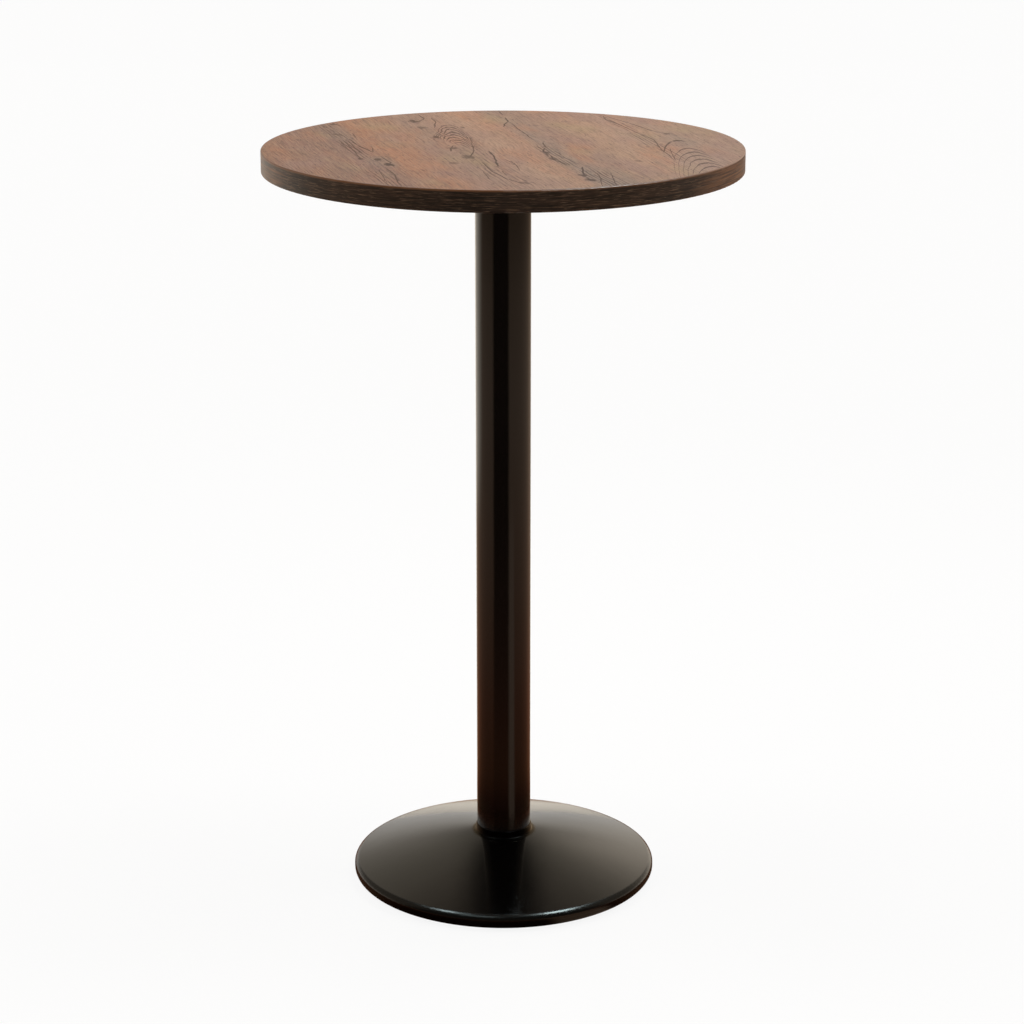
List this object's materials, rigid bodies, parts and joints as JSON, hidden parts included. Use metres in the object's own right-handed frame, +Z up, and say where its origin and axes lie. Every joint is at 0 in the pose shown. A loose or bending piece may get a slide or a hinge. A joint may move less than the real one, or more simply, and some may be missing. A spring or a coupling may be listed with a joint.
{
  "type": "pub table",
  "caption": "Bar-height pedestal table: round wood-faced top on a black steel column and a wide shallow cast dome foot with screw-in levelling glides.",
  "frame": {"origin": "on the floor, under the column's axis, with the glides fully screwed in", "axes": "+Z up along the column; -Y is the front, +X the right-hand side seen from the front; the oak boards run nearly front to back"},
  "size_m": [0.68, 0.68, 1.1],
  "materials": {
    "oak_laminate": "satin laminate printed and embossed as rustic oak boards",
    "chipboard": "raw pressed chipboard, hidden by its facings",
    "backing_sheet": "matt brown phenolic balancing sheet",
    "edge_band": "dark brown wood-grain edge band, satin",
    "cast_spider": "satin black paint over a sand-cast surface",
    "screw_steel": "yellow zinc-plated steel",
    "column_paint": "gloss black enamel",
    "zinc_steel": "bright zinc-plated steel",
    "base_enamel": "gloss black enamel over a smooth casting",
    "glide_plastic": "black moulded nylon"
  },
  "bodies": {
    "table": {"top_core": "chipboard", "top_laminate": "oak_laminate", "backing_laminate": "backing_sheet", "edge_band": "edge_band", "top_spider": "cast_spider", "spider_screws": "screw_steel", "column_tube": "column_paint", "tie_rod": "zinc_steel", "tie_rod_upper_nut": "zinc_steel", "tie_rod_lower_nut": "zinc_steel", "tie_rod_upper_washer": "zinc_steel", "tie_rod_lower_washer": "zinc_steel", "tie_rod_spring_washer": "zinc_steel", "base_casting": "base_enamel"},
    "pad_front_left": {"glide_pad_front_left": "glide_plastic"},
    "stud_front_left": {"glide_stud_front_left": "zinc_steel"},
    "pad_front_right": {"glide_pad_front_right": "glide_plastic"},
    "stud_front_right": {"glide_stud_front_right": "zinc_steel"},
    "pad_back_right": {"glide_pad_back_right": "glide_plastic"},
    "stud_back_right": {"glide_stud_back_right": "zinc_steel"},
    "pad_back_left": {"glide_pad_back_left": "glide_plastic"},
    "stud_back_left": {"glide_stud_back_left": "zinc_steel"}
  },
  "joints": [
    {"name": "glide_front_left_slide", "type": "slide", "parent": "table", "child": "pad_front_left", "axis": [0, 0, -1], "range_m": [0, 0.008]},
    {"name": "glide_front_left_turn", "type": "hinge", "parent": "pad_front_left", "child": "stud_front_left", "pos_m": [-0.12728, -0.12728, 0.012], "axis": [0, 0, -1], "range_deg": [0, 2304.1]},
    {"name": "glide_front_right_slide", "type": "slide", "parent": "table", "child": "pad_front_right", "axis": [0, 0, -1], "range_m": [0, 0.008]},
    {"name": "glide_front_right_turn", "type": "hinge", "parent": "pad_front_right", "child": "stud_front_right", "pos_m": [0.12728, -0.12728, 0.012], "axis": [0, 0, -1], "range_deg": [0, 2304.1]},
    {"name": "glide_back_right_slide", "type": "slide", "parent": "table", "child": "pad_back_right", "axis": [0, 0, -1], "range_m": [0, 0.008]},
    {"name": "glide_back_right_turn", "type": "hinge", "parent": "pad_back_right", "child": "stud_back_right", "pos_m": [0.12728, 0.12728, 0.012], "axis": [0, 0, -1], "range_deg": [0, 2304.1]},
    {"name": "glide_back_left_slide", "type": "slide", "parent": "table", "child": "pad_back_left", "axis": [0, 0, -1], "range_m": [0, 0.008]},
    {"name": "glide_back_left_turn", "type": "hinge", "parent": "pad_back_left", "child": "stud_back_left", "pos_m": [-0.12728, 0.12728, 0.012], "axis": [0, 0, -1], "range_deg": [0, 2304.1]}
  ],
  "couplings": [
    {"joint": "glide_front_left_turn", "follows": "glide_front_left_slide", "rad_per_m": 5026.5},
    {"joint": "glide_front_right_turn", "follows": "glide_front_right_slide", "rad_per_m": 5026.5},
    {"joint": "glide_back_right_turn", "follows": "glide_back_right_slide", "rad_per_m": 5026.5},
    {"joint": "glide_back_left_turn", "follows": "glide_back_left_slide", "rad_per_m": 5026.5}
  ]
}
